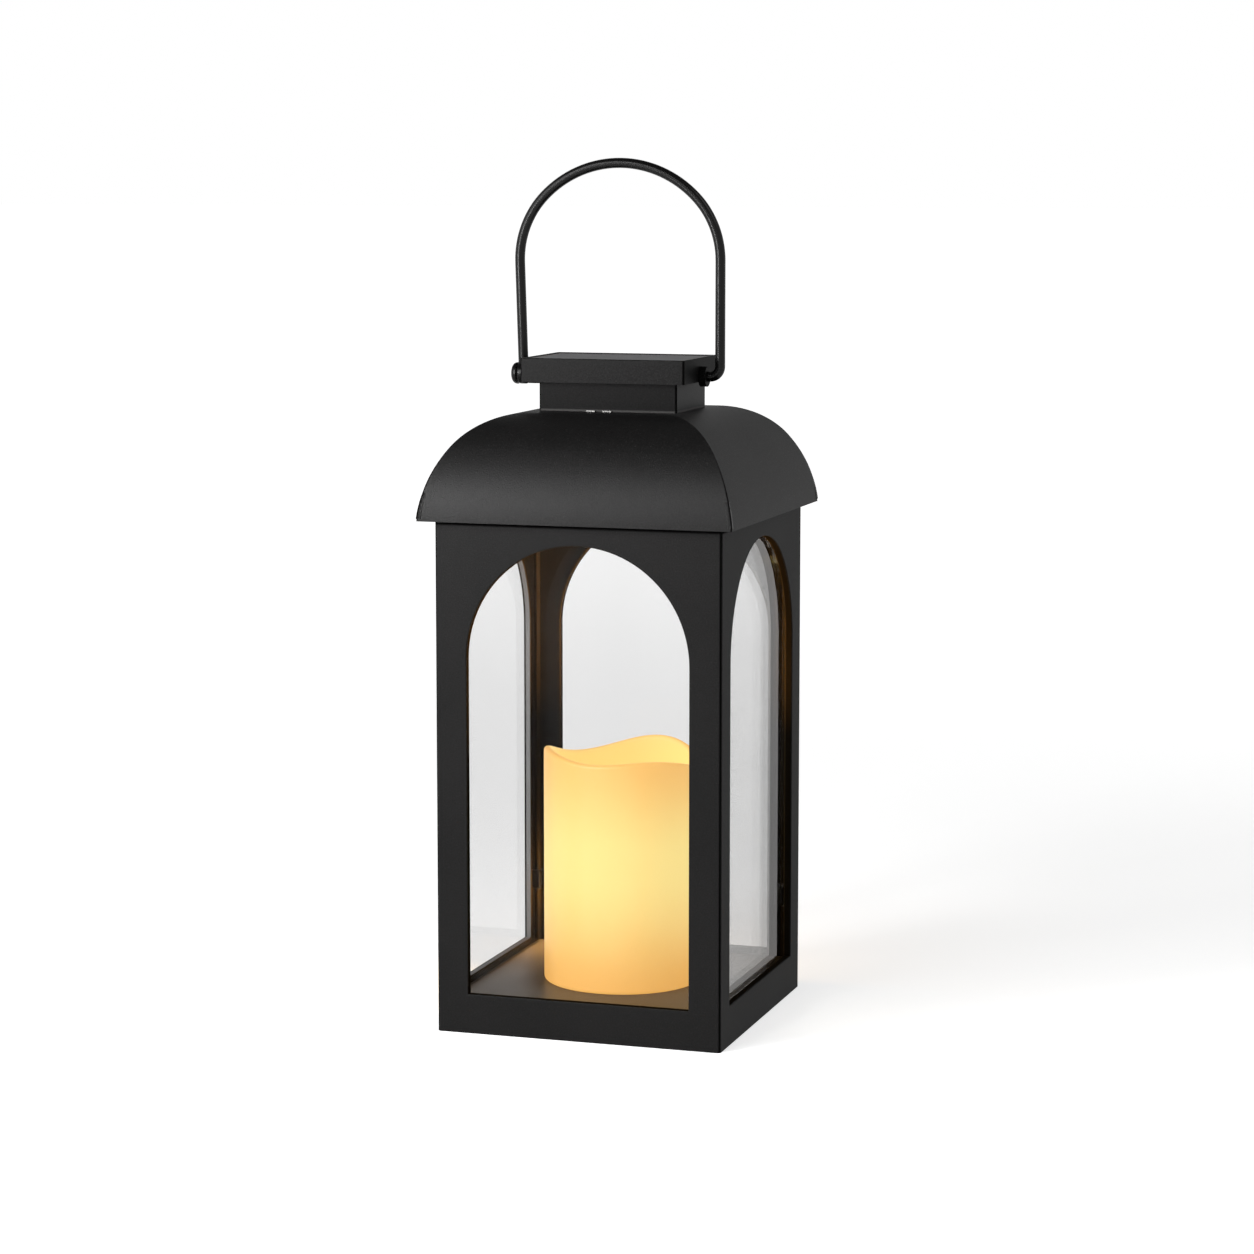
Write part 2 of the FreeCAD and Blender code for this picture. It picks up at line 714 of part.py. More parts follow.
# Handle: one bent wire, its right foot turned into the cap, its left foot an eye on a pin

def handle_path():
    """Middle line of the wire from inside the cap on the right, over the arch, to the left eye."""
    join = math.radians(arch_join)
    level = math.radians(90)
    lean = math.radians(90 + left_lean)
    arch_top = Vector(0, 0, spring_z + arch_rise)

    def side_point(sign, angle):
        return Vector(sign * (side_x + side_radius * math.sin(angle)), 0,
                      spring_z + side_radius * math.cos(angle))

    inner_end = Vector(cap_half_x - pivot_depth, 0, pivot_z)
    elbow_centre = Vector(leg_x - elbow_bend, 0, pivot_z + elbow_bend)
    elbow_start = elbow_centre - up * elbow_bend
    elbow_middle = elbow_centre + Vector(1, 0, -1).normalize() * elbow_bend
    elbow_end = elbow_centre + Vector(elbow_bend, 0, 0)
    right_spring = Vector(leg_x, 0, spring_z)
    left_spring = side_point(-1, lean)
    edges = [line(inner_end, elbow_start), arc(elbow_start, elbow_middle, elbow_end)]
    edges += [line(elbow_end, right_spring)]
    edges += [arc(right_spring, side_point(1, (join + level) / 2), side_point(1, join))]
    edges += [arc(side_point(1, join), arch_top, side_point(-1, join))]
    edges += [arc(side_point(-1, join), side_point(-1, (join + lean) / 2), left_spring)]
    edges += [line(left_spring, Vector(-eye_x, 0, pivot_z))]
    return Part.Wire(edges), inner_end


def make_handle():
    path, start = handle_path()
    section = Part.Wire(Part.makeCircle(wire / 2, start, Vector(1, 0, 0)))
    pipe = path.makePipeShell([section], True, True)
    centre = Vector(-eye_x, 0, pivot_z)
    across = Vector(wire / 2, 0, 0)
    eye = rod(eye_diameter / 2, centre - across, centre + across)
    eye = eye.makeFillet(eye_round, [e for e in eye.Edges if e.Closed])
    stub = rod(pin_diameter / 2 + wire_gap, centre - across * 2, centre + across * 2)
    handle = pipe.fuse(eye).removeSplitter().cut(stub)
    handle.translate(beside_neck)
    save("handle", handle)


def make_pin():
    """The left pivot: a domed head, a pin through the eye, and its end in the cap."""
    inner = -(cap_half_x - pivot_depth)
    head_face = -(eye_x + wire / 2 + pin_head_gap)
    shank = rod(pin_diameter / 2, Vector(head_face, 0, pivot_z), Vector(inner, 0, pivot_z))
    head = rod(pin_head / 2, Vector(head_face - pin_head_height, 0, pivot_z), Vector(head_face, 0, pivot_z))
    outer_rim = [e for e in head.Edges
                 if e.Closed and abs(e.CenterOfMass.x - head_face) > pin_head_height / 2]
    head = head.makeFillet(pin_head_round, outer_rim)
    pin = shank.fuse(head).removeSplitter()
    pin.translate(beside_neck)
    save("handle_pin", pin)


# Candle: an open wax-look shell with a melted rim, on a plug that carries the lamp

def rim_height(angle):
    """Height of the melted rim at an angle from +X, in radians."""
    waves = ((1, rim_wave_1, rim_turn_1), (2, rim_wave_2, rim_turn_2), (3, rim_wave_3, rim_turn_3))
    return rim_mean + sum(rise * math.cos(count * (angle - math.radians(turn)))
                          for count, rise, turn in waves)


def rim_curve(radius):
    """The rim's height followed round a circle, as one closed curve."""
    angles = [2 * math.pi * i / rim_points for i in range(rim_points)]
    points = [Vector(radius * math.cos(a), radius * math.sin(a), rim_height(a)) for a in angles]
    curve = Part.BSplineCurve()
    curve.interpolate(Points=points, PeriodicFlag=True)
    return curve.toShape()


def make_candle():
    tallest = rim_mean + rim_wave_1 + rim_wave_2 + rim_wave_3 + through
    shell = rod(candle_radius, Vector(0, 0, floor_height), Vector(0, 0, tallest))
    foot = [e for e in shell.Edges if e.Closed and abs(e.CenterOfMass.z - floor_height) < touching]
    shell = shell.makeFillet(candle_foot_round, foot)
    shell = shell.cut(rod(candle_bore, Vector(0, 0, floor_height - through), Vector(0, 0, tallest + through)))
    above = Part.makeRuledSurface(rim_curve(candle_bore - candle_wall),
                                  rim_curve(candle_radius + candle_wall))
    shell = shell.cut(above.extrude(Vector(0, 0, candle_height)))
    ledge_top = rim_mean - diffuser_drop
    ledge = rod(candle_bore, Vector(0, 0, ledge_top - 2 * diffuser_ledge), Vector(0, 0, ledge_top))
    narrow = Part.makeCone(candle_bore, candle_bore - diffuser_ledge, 2 * diffuser_ledge,
                           Vector(0, 0, ledge_top - 2 * diffuser_ledge))
    save("candle_shell", shell.fuse(ledge.cut(narrow)).removeSplitter())


def make_diffuser():
    """The dished disc that closes the candle's well and spreads the lamp's light."""
    level = rim_mean - diffuser_drop
    radius = candle_bore - plug_gap
    dish = radius - candle_wall
    upper = level + diffuser_thickness
    points = [(0, level - diffuser_dish), (dish, level), (radius, level), (radius, upper),
              (dish, upper), (0, upper - diffuser_dish)]
    outline = polygon([Vector(x, 0, z) for x, z in points])
    save("candle_diffuser", outline.revolve(origin, up, 360))


plug_floor_top = floor_height + plug_floor
lamp_board_bottom = plug_floor_top + lamp_post_height


def make_plug():
    radius = candle_bore - plug_gap
    top = floor_height + plug_height
    plug = rod(radius, Vector(0, 0, floor_height), Vector(0, 0, top))
    plug = plug.cut(rod(radius - plug_wall, Vector(0, 0, plug_floor_top), Vector(0, 0, top + through)))
    bosses = [rod(screw_head / 2 + plug_wall, Vector(x, y, floor_height), Vector(x, y, top))
              for x, y in candle_screw_places()]
    plug = plug.fuse(bosses).removeSplitter()
    holes = clearance_holes(candle_screw_places(), floor_height - through,
                            floor_height + screw_length + through)
    holes.append(rod(grommet_flange / 2 + screw_gap, Vector(0, 0, floor_height - through),
                     Vector(0, 0, plug_floor_top + through)))
    save("candle_plug", plug.cut(holes))


def make_lamp():
    post = rod(lamp_post_diameter / 2, Vector(0, 0, plug_floor_top), Vector(0, 0, lamp_board_bottom))
    bore = lamp_post_diameter / 2 - plug_wall
    lead_way = rod(bore, Vector(0, 0, floor_height), Vector(0, 0, lamp_board_bottom + through))
    save("lamp_post", post.cut(lead_way))
    board_top_z = lamp_board_bottom + lamp_board_thickness
    save("lamp_board", rod(lamp_board_diameter / 2, Vector(0, 0, lamp_board_bottom),
                           Vector(0, 0, board_top_z)))
    rim = rod(lamp_rim / 2, Vector(0, 0, board_top_z), Vector(0, 0, board_top_z + lamp_rim_height))
    dome = board_top_z + lamp_height - lamp_diameter / 2
    lens = rod(lamp_diameter / 2, Vector(0, 0, board_top_z), Vector(0, 0, dome))
    lens = lens.fuse(Part.makeSphere(lamp_diameter / 2, Vector(0, 0, dome)))
    save("lamp", lens.fuse(rim).removeSplitter())


def make_candle_screws():
    below = floor_height - sheet
    screws = [screw(Vector(x, y, below), up, screw_length) for x, y in candle_screw_places()]
    save("candle_screws", Part.makeCompound(screws))


def make_grommet():
    """The bush that lines the lead's hole through the floor."""
    outer = lead_hole / 2
    wide = grommet_flange / 2
    below = floor_height - sheet
    low = below - grommet_flange_height
    high = floor_height + grommet_flange_height
    bore = grommet_bore / 2
    points = [(bore, low), (wide, low), (wide, below), (outer, below), (outer, floor_height),
              (wide, floor_height), (wide, high), (bore, high)]
    outline = polygon([Vector(x, 0, z) for x, z in points])
    save("lead_grommet", outline.revolve(origin, up, 360))


os.makedirs("parts", exist_ok=True)
make_walls()
make_panes()
make_clips()
make_tray()
make_roof()
make_hip_seams()
make_seat_ring()
make_roof_screws()
make_neck()
make_neck_tabs()
make_head_screws()
make_cap()
make_cap_screws()
make_panel()
make_battery()
make_board()
make_handle()
make_pin()
make_candle()
make_diffuser()
make_plug()
make_lamp()
make_candle_screws()
make_grommet()
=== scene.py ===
# %% [markdown]
# # A solar candle lantern
# The lantern is a square house of black painted sheet with an arched window on each side, a vaulted
# roof, a small solar head with a wire handle, and a wax-look candle that glows from inside.
# The frame brings in every rigid piece at its real size and place, in metres, with the front facing -Y.
# What is left to do here is the light, the finishes, the soft shape of the melted candle, and the
# ends of the roof's seam strips.

# %% Load the frame
import bpy
import json
import math
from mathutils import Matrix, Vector


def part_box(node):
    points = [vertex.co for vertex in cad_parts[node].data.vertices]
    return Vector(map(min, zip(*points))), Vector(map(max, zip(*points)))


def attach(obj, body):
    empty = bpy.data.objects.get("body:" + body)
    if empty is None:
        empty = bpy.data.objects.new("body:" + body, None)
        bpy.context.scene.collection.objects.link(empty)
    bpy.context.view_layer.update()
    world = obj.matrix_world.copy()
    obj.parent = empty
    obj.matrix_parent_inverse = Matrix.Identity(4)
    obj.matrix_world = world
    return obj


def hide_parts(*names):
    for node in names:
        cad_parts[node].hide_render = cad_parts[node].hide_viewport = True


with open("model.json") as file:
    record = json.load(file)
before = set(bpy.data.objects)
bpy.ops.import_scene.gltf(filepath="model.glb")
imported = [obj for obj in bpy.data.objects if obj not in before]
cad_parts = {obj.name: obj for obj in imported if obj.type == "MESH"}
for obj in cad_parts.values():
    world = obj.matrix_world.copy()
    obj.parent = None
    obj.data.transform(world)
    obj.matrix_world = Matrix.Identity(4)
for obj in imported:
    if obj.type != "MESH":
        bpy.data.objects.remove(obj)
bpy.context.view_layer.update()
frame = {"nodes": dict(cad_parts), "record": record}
nodes = frame["nodes"]


def rounded(values):
    """Numbers short enough to print."""
    return [round(v, 4) for v in values]


# %% [markdown]
# ## The camera
# A long lens from well back keeps the lantern's upright edges nearly parallel, as in a product picture.
# The camera could be placed by hand until it looks right. Here it is given by the way it looks instead: how
# far round, how far up, how far away and at what, so that each can be set without spoiling the others.
# The optical axis isn't quite in the middle of the picture, which is what the lens shift is for.

# %% Camera
photo_px = 1254
axis_px = (622.8, 591.5)
lens_mm = 99.3
sensor_mm = 36.0
camera_round = math.radians(17.875)
camera_up = math.radians(7.042)
camera_distance = 1.6661
camera_aim = Vector((0, 0, 0.2050))

towards_camera = Vector((math.sin(camera_round) * math.cos(camera_up),
                         -math.cos(camera_round) * math.cos(camera_up), math.sin(camera_up)))
bpy.ops.object.camera_add(location=camera_aim + towards_camera * camera_distance)
camera = bpy.context.object
camera.rotation_euler = (-towards_camera).to_track_quat("-Z", "Y").to_euler()
camera.data.lens = lens_mm
camera.data.sensor_width = sensor_mm
camera.data.shift_x = 0.5 - axis_px[0] / photo_px
camera.data.shift_y = axis_px[1] / photo_px - 0.5
bpy.context.scene.camera = camera
bpy.context.scene.view_settings.view_transform = "Standard"
print("camera at", rounded(camera.location))

# %% [markdown]
# ## Shader sums written as Python
# A finish is a small sum of patterns: noise for the grain of the paint, a ramp for the glow of the wax.
# Wiring each Math node by hand hides the sum, so one class stands for a node's output and knows how to
# add, take away and multiply. Its method `node` makes any other node from its settings and its inputs.

# %% Wires
class Wire:
    """One output of a node in a tree; arithmetic on it adds Math nodes."""

    def __init__(self, tree, socket=None):
        self.tree = tree
        self.socket = socket

    def node(self, kind, settings=None, inputs=None, output=0):
        """Any node, from its type, its settings, and a value or a wire for each input."""
        made = self.tree.nodes.new("ShaderNode" + kind)
        for name, value in (settings or {}).items():
            setattr(made, name, value)
        for name, value in (inputs or {}).items():
            if isinstance(value, Wire):
                self.tree.links.new(value.socket, made.inputs[name])
            else:
                made.inputs[name].default_value = value
        return Wire(self.tree, made.outputs[output] if made.outputs else None)

    def maths(self, operation, first, second=0.0):
        return self.node("Math", {"operation": operation}, {0: first, 1: second})

    def __add__(self, other):
        return self.maths("ADD", self, other)

    def __sub__(self, other):
        return self.maths("SUBTRACT", self, other)

    def __rsub__(self, other):
        return self.maths("SUBTRACT", other, self)

    def __mul__(self, other):
        return self.maths("MULTIPLY", self, other)

    __radd__ = __add__
    __rmul__ = __mul__

    def __abs__(self):
        return self.maths("ABSOLUTE", self)

    def larger(self, other):
        return self.maths("MAXIMUM", self, other)

    def smaller(self, other):
        return self.maths("MINIMUM", self, other)

    def rise(self, low, high):
        """0 below low, 1 above high, smooth between."""
        return self.node("MapRange", {"interpolation_type": "SMOOTHSTEP"},
                         {"Value": self, "From Min": low, "From Max": high})

    def mix(self, first, second):
        """A colour between two, by this wire."""
        return self.node("Mix", {"data_type": "RGBA"}, {0: self, 6: first, 7: second}, 2)

    def part(self, number):
        """One coordinate of a place, 0 for x to 2 for z."""
        return self.node("SeparateXYZ", inputs={0: self}, output=number)

    def length(self):
        """How far a place is from the origin."""
        return self.node("VectorMath", {"operation": "LENGTH"}, {0: self}, "Value")


def empty_tree(holder):
    """The node tree of a material or a world, with nothing in it yet."""
    holder.use_nodes = True
    holder.node_tree.nodes.clear()
    return Wire(holder.node_tree)


def srgb(red, green, blue):
    """A colour as it is read from a picture, made linear for a socket."""
    parts = [(c / 255 + 0.055) / 1.055 for c in (red, green, blue)]
    return tuple(p ** 2.4 for p in parts) + (1.0,)


pure_white = (1, 1, 1, 1)
print("wires ready")

# %% [markdown]
# ## Studio
# The lantern stands in a white sweep. Camera, glossy and transmission rays see that white at strength 1,
# so the glass and the satin paint mirror it, while the light that falls on the lantern is set apart.
# The dome darkens overhead, which leaves the upper roof deep black, as under a studio's dark ceiling.

# %% World
horizon_light = 0.42
ceiling_share = 0.10
white_up_to = 0.12
dark_from = 0.75


def shown(tree):
    """1 for the rays that show a thing, straight, in a mirror or through glass, and 0 for other light."""
    straight, mirrored, through = [tree.node("LightPath", output="Is " + kind + " Ray")
                                   for kind in ("Camera", "Glossy", "Transmission")]
    return straight.larger(mirrored).larger(through)


world = bpy.data.worlds.new("studio")
bpy.context.scene.world = world
sky = empty_tree(world)
height = sky.node("TexCoord").part(2)
dome = 1 - height.rise(white_up_to, dark_from) * (1 - ceiling_share)
level = shown(sky) * (1 - horizon_light) + horizon_light
backdrop = sky.node("Background", inputs={"Color": pure_white, "Strength": level * dome})
sky.node("OutputWorld", inputs={"Surface": backdrop})
print("world: horizon", horizon_light, "ceiling", ceiling_share)

# %% [markdown]
# ## Floor
# The floor is a pale sheet that carries the soft shadow. Lamps bright enough to turn it white would wash out
# the paint, so what the camera sees of it gets light of its own instead, more and more with the distance,
# until it runs into the white behind without a line.

# %% Floor
floor_half = 30.0
floor_colour = (0.82, 0.82, 0.82, 1)
near_lift = 0.63
far_lift = 0.97
near_end = 0.3
far_end = 2.2

bpy.ops.object.select_all(action="DESELECT")
bpy.ops.mesh.primitive_plane_add(size=2 * floor_half, location=(0, 0, 0))
floor = bpy.context.object
floor.name = "studio_floor"
paper = bpy.data.materials.new("studio_paper")
sheet = empty_tree(paper)
lit = sheet.node("BsdfDiffuse", inputs={"Color": floor_colour})
far = sheet.node("TexCoord", output="Object").length().rise(near_end, far_end)
lift = shown(sheet) * (far * (far_lift - near_lift) + near_lift)
lifted = sheet.node("Emission", inputs={"Color": pure_white, "Strength": lift})
both = sheet.node("AddShader", inputs={0: lit, 1: lifted})
sheet.node("OutputMaterial", inputs={"Surface": both})
floor.data.materials.append(paper)
print("floor", 2 * floor_half, "m square")

# %% [markdown]
# ## Lamps
# A large soft box stands in front on the left, well above the roof, and a strip beside it draws the pale
# band along the lower roof. A small box close by brings out the grain on the left of that band. The last
# one stands high on the right and lightens the right side of the roof. All of them are boxes, because bare
# lamps would leave sharp spots on the satin paint.

# %% Lamps
def soft_box(name, place, aim, size, watts):
    """A flat rectangular lamp that faces its aim and isn't in the picture."""
    bpy.ops.object.light_add(type="AREA", location=place)
    lamp = bpy.context.object
    lamp.name = name
    lamp.data.shape = "RECTANGLE"
    lamp.data.size, lamp.data.size_y = size
    lamp.data.energy = watts
    lamp.visible_camera = False
    lamp.rotation_euler = (Vector(aim) - Vector(place)).to_track_quat("-Z", "Y").to_euler()


house_middle = (0, 0, 0.2)
left_eave = (-0.07, -0.075, 0.25)
soft_box("soft_box_front", place=(-1.6, -1.7, 1.15), aim=house_middle, size=(1.6, 1.4), watts=22)
soft_box("strip_box", place=(-0.75, -1.9, 1.2), aim=house_middle, size=(1.1, 0.35), watts=17)
soft_box("near_box", place=(-0.28, -0.44, 0.35), aim=left_eave, size=(0.10, 0.10), watts=1.45)
soft_box("soft_box_right", place=(1.6, -0.3, 1.9), aim=house_middle, size=(1.2, 1.2), watts=11)

# %% [markdown]
# ## A finish
# Every finish starts and ends in the same way. `start_finish` makes an empty material and reads Object
# coordinates, so that patterns stay put on the piece. `close_finish` adds the surface shader, a Bump node
# for the grain, and layers of another colour wherever a mask says. Each cell below then only says what
# its own finish looks like.

# %% Finish
finishes = {}


def start_finish(name):
    """A new empty material, and the place of a point on its piece."""
    finishes[name] = bpy.data.materials.new(name)
    tree = empty_tree(finishes[name])
    return tree, tree.node("TexCoord", output="Object")


def noise(place, per_metre, detail=2.0, roughness=0.5):
    """Soft cloudy noise, with so many clouds to the metre."""
    return place.node("TexNoise", inputs={"Vector": place, "Scale": per_metre, "Detail": detail,
                                          "Roughness": roughness})


def close_finish(tree, sockets, grain=None, grain_height=0.0, layers=()):
    """The surface shader from its sockets and its grain, the layers over it, and the material's output."""
    if grain is not None:
        sockets["Normal"] = tree.node("Bump", inputs={"Strength": 1.0, "Distance": grain_height,
                                                      "Height": grain})
    surface = tree.node("BsdfPrincipled", inputs=sockets)
    for mask, cover in layers:
        layer = cover if isinstance(cover, Wire) else tree.node("BsdfDiffuse", inputs={"Color": cover})
        surface = tree.node("MixShader", inputs={0: mask, 1: surface, 2: layer})
    tree.node("OutputMaterial", inputs={"Surface": surface})


print("finishes start empty")

# %% [markdown]
# ## Joints, folds and painted shade of the house
# The sheets of the house meet in open joints. The shade in them is painted as thin black lines at the
# corners, which die out up the roof, and the shadow under the eave is painted as a dark band. Behind its
# face each sheet is painted darker, as painted shade, and its folds are painted brown, as painted candle
# light. The lip round a window shines on the left wall and takes the painted shade of the inside on the
# right. Shade in gaps that thin would flicker as geometry. A joint is where two coordinates of a point agree
# and a fold is where one has a known value, so a few sums on Object coordinates draw them all.

# %% House layers
# The black of painted shade: in the joints, under the eave and on the ends of the head's boxes.
shade_black = srgb(13, 13, 13)
# Painted shade behind the face of the walls.
inside_shade_black = srgb(11, 9, 7)
# Painted candle light on the folds of the walls.
fold_candle_glow = srgb(42, 35, 23)
lip_grey = (0.26, 0.26, 0.26, 1)
lip_roughness = 0.30
inside_shade_share = 0.85
fold_glow_share = 0.9
lip_share = 0.85

wall_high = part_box("wall_right")[1]
outer, wall_top = wall_high.x, wall_high.z
pane_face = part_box("pane_right")[1].x
window_half = 0.0545

# Each pair is where a soft edge starts and where it ends.
joint_side = (0.0003, 0.0009)
joint_top = (wall_top + 0.008, wall_top + 0.034)
roof_foot = (wall_top, wall_top + 0.0006)
# Where the painted shadow under the eave runs out, outwards and downwards.
eave_shadow_front = (outer + 0.0008, outer + 0.0012)
eave_shadow_foot = (wall_top - 0.0085, wall_top - 0.0073)
behind_face = (outer - 0.0006, outer - 0.0002)
behind_bend = (outer - 0.0011, outer - 0.0009)
lip_end = (pane_face + 0.0003, pane_face + 0.0005)
lip_side = (window_half + 0.0004, window_half + 0.0008)


def house_layers(shiny_lips=False):
    """Painted shade in the corner joints and under the eave, painted shade behind the walls' face, painted
    candle light on the folds, and the lips.
    """
    def layers(place):
        across, deep, up = abs(place.part(0)), abs(place.part(1)), place.part(2)
        outwards, along = across.larger(deep), across.smaller(deep)
        below_roof = 1 - up.rise(*roof_foot)
        # Painted shade in the corner joints, dying out up the roof, and the painted shadow under the eave.
        corner = (1 - abs(across - deep).rise(*joint_side)) * (1 - up.rise(*joint_top))
        eave_shadow = (1 - outwards.rise(*eave_shadow_front)) * up.rise(*eave_shadow_foot) * below_roof
        # Painted shade behind the face of each sheet, and painted candle light on its folds.
        inside = (1 - outwards.rise(*behind_face)) * below_roof
        folds = (1 - outwards.rise(*behind_bend)) * below_roof
        lips = folds * outwards.rise(*lip_end) * (1 - along.rise(*lip_side))
        # Without shine, the lips take the painted shade of the inside.
        lip_cover = inside_shade_black
        if shiny_lips:
            lip_cover = place.node("BsdfGlossy", inputs={"Color": lip_grey, "Roughness": lip_roughness})
        return ((inside * inside_shade_share, inside_shade_black), (folds * fold_glow_share, fold_candle_glow),
                (lips * lip_share, lip_cover), (corner.larger(eave_shadow), shade_black))
    return layers


print("house: face at", round(outer, 4), "wall top at", round(wall_top, 4))

# %% [markdown]
# ## Joints and painted shade of the head
# Neck and cap are folded boxes with a joint down each corner, and the shade in each joint is painted as a
# thin black line. The two ends of each box turn away from the lamps, so a thin layer of painted shade there
# keeps them from taking as much of the white studio as the front does.

# %% Head layers
head_joint = 0.0008
joint_blur = 0.0003
end_starts = 0.0005
end_full = 0.0002


def box_layers(low, high, end_shade):
    """Painted shade down the joints at the corners of an upright box, and on its two ends."""
    centre, half = (low + high) / 2, (high - low) / 2

    def layers(place):
        aside = [abs(place.part(i) - centre[i]) for i in (0, 1)]
        # Painted shade in the joints down the corners.
        marks = [aside[i].rise(half[i] - head_joint - joint_blur, half[i] - head_joint + joint_blur)
                 for i in (0, 1)]
        # Painted shade on the two ends.
        ends = aside[0].rise(half[0] - end_starts, half[0] - end_full)
        return (ends * end_shade, shade_black), (marks[0] * marks[1], shade_black)
    return layers


neck_low, neck_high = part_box("neck_box")
panel_low, panel_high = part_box("solar_panel")
# The cap's own box has the handle's lugs in it, so its corners are found from the panel inside its rim.
cap_rim = Vector((0.0022, 0.0022, 0))
cap_low, cap_high = panel_low - cap_rim, panel_high + cap_rim
print("neck from", rounded(neck_low), "cap from", rounded(cap_low))

# %% [markdown]
# ## Black powder coat
# Walls, roof and floor are sprayed with powder and baked. The coat is a satin black with a fine grain, less
# than a millimetre across, and a few paler specks where the powder lay thick. Large soft clouds make the
# gloss uneven, which is what tells baked paint from a flat black. The front and back walls and the side
# walls get shaded copies of the coat, darker or far less shiny, as painted shade, and the roof's sides a
# paler one, as painted light. The floor inside is painted far paler, as a painted reflection of the white
# studio. The head has coats of its own, with a painted grey highlight along the neck's foot, and the
# handle's wire is smooth. So one function mixes the coat, and each of them gets its own dark, pale,
# roughness, grain and shine.

# %% Powder coat
clouds_per_metre = 14
grains_per_metre = 1500
specks_per_metre = 1100
speck_edge = (0.66, 0.74)
mottle_edge = (0.3, 0.7)
# A painted highlight, grey, along the foot of a piece below a given height.
foot_highlight_grey = srgb(72, 71, 70)
foot_highlight_share = 0.8
foot_highlight_fade = 0.0008


def powder_coat(name, dark, pale, roughness, grain_height, shine, layers=None, highlight_below=None):
    """Satin paint between a dark and a pale colour, with a painted grey highlight below a height where one
    is given.
    """
    tree, place = start_finish(name)
    clouds = noise(place, clouds_per_metre, 3)
    fine = noise(place, grains_per_metre, 3, 0.6)
    specks = noise(place, specks_per_metre, 1).rise(*speck_edge)
    mottled = (fine * 0.7 + clouds * 0.3).rise(*mottle_edge)
    colour = (mottled * 0.6 + specks * 0.4).mix(dark, pale)
    if highlight_below is not None:
        # The painted highlight below the given height.
        foot_highlight = 1 - place.part(2).rise(highlight_below, highlight_below + foot_highlight_fade)
        colour = (foot_highlight * foot_highlight_share).mix(colour, foot_highlight_grey)
    uneven = roughness + clouds * 0.12 + fine * 0.10
    close_finish(tree, {"Base Color": colour, "Roughness": uneven, "Specular IOR Level": shine},
                 fine + specks * 0.5, grain_height, layers(place) if layers else ())


print("powder ready:", grains_per_metre, "grains to the metre")

# %% Coats of the house
powder_coat("black_paint", srgb(8, 8, 8), srgb(30, 29, 29), roughness=0.34, grain_height=0.00010, shine=0.17,
            layers=house_layers())
# A shaded copy for the front and back walls: darker and less shiny, as painted shade.
powder_coat("wall_shade_coat", srgb(6, 6, 6), srgb(27, 26, 26), roughness=0.34, grain_height=0.00007, shine=0.14,
            layers=house_layers())
# Shaded copies for the side walls, far less shiny, as painted shade; the left lips shine, the right take
# painted shade.
for name, shiny_lips in (("left_shade_coat", True), ("right_shade_coat", False)):
    powder_coat(name, srgb(18, 18, 18), srgb(44, 43, 43), roughness=0.40, grain_height=0.00005, shine=0.025,
                layers=house_layers(shiny_lips))
# A lit copy for the sides of the roof: paler, as painted light.
powder_coat("roof_side_lit_coat", srgb(30, 30, 30), srgb(60, 59, 59), roughness=0.40, grain_height=0.00005,
            shine=0.05, layers=house_layers())
# The floor inside is painted far paler than black, as a painted reflection of the white studio.
powder_coat("floor_reflection_coat", srgb(62, 58, 55), srgb(99, 95, 90), roughness=0.26, grain_height=0.00004,
            shine=0.30)
print("coats of the house:", list(finishes))

# %% Coats of the head
# The neck's foot, up to here, gets the painted grey highlight.
neck_highlight_to = neck_low.z + 0.0005

powder_coat("handle_paint", srgb(5, 5, 5), srgb(17, 16, 16), roughness=0.18, grain_height=0.000003,
            shine=0.18)
powder_coat("neck_paint", srgb(8, 8, 8), srgb(24, 23, 23), roughness=0.36, grain_height=0.00003, shine=0.08,
            layers=box_layers(neck_low, neck_high, end_shade=0.20), highlight_below=neck_highlight_to)
powder_coat("cap_paint", srgb(10, 10, 10), srgb(33, 32, 32), roughness=0.36, grain_height=0.00003,
            shine=0.10, layers=box_layers(cap_low, cap_high, end_shade=0.62))
print("coats with the head's:", len(finishes))

# %% [markdown]
# ## Glass
# The panes are clear and thin. A real refracting shader would keep the light out of the house, so the pane
# lets light straight through with a faint grey tint and lays a mirror film over it, stronger at a low angle.
# The pane on the right is seen at such an angle, and is a copy of the same glass with a much stronger film,
# so that it mirrors more of the white studio.

# %% Glass
mirror_colour = (0.9, 0.9, 0.9, 1)
mirror_roughness = 0.02
film_ior = 1.42
smears_per_metre = 30
smear_share = 0.06


def glass(name, film_share, clear_share):
    """A pane that lets a share of the light through, under a share of a mirror film."""
    tree, place = start_finish(name)
    smear = noise(place, smears_per_metre)
    clear = tree.node("BsdfTransparent", inputs={"Color": (clear_share, clear_share, clear_share, 1)})
    mirror = tree.node("BsdfGlossy", inputs={"Color": mirror_colour, "Roughness": mirror_roughness})
    film = tree.node("Fresnel", inputs={"IOR": film_ior}) * (smear * smear_share + film_share)
    pane = tree.node("MixShader", inputs={0: film, 1: clear, 2: mirror})
    tree.node("OutputMaterial", inputs={"Surface": pane})


glass("pane_glass", film_share=0.09, clear_share=0.936)
# The right pane: the same glass with a much stronger film, so that it mirrors more of the studio.
glass("bright_film_glass", film_share=0.70, clear_share=0.948)
print("glass done")

# %% [markdown]
# ## Solar panel
# The panel is a plate of clear resin over dark cells. The cells are strips of blue-black film with
# hair-fine silver lines across them. Lines that thin are drawn in the finish: a coordinate that is folded to
# and fro, as a ruler is, comes back to its end at every line.

# %% Panel
resin_roughness = 0.46
resin_shine = 0.31
dust_per_metre = 60
film_clouds_per_metre = 90
line_silver = srgb(140, 138, 134)
line_share = 0.5
line_pitch = 0.0044
line_edge = (line_pitch / 2 - 0.0002, line_pitch / 2 - 0.0001)

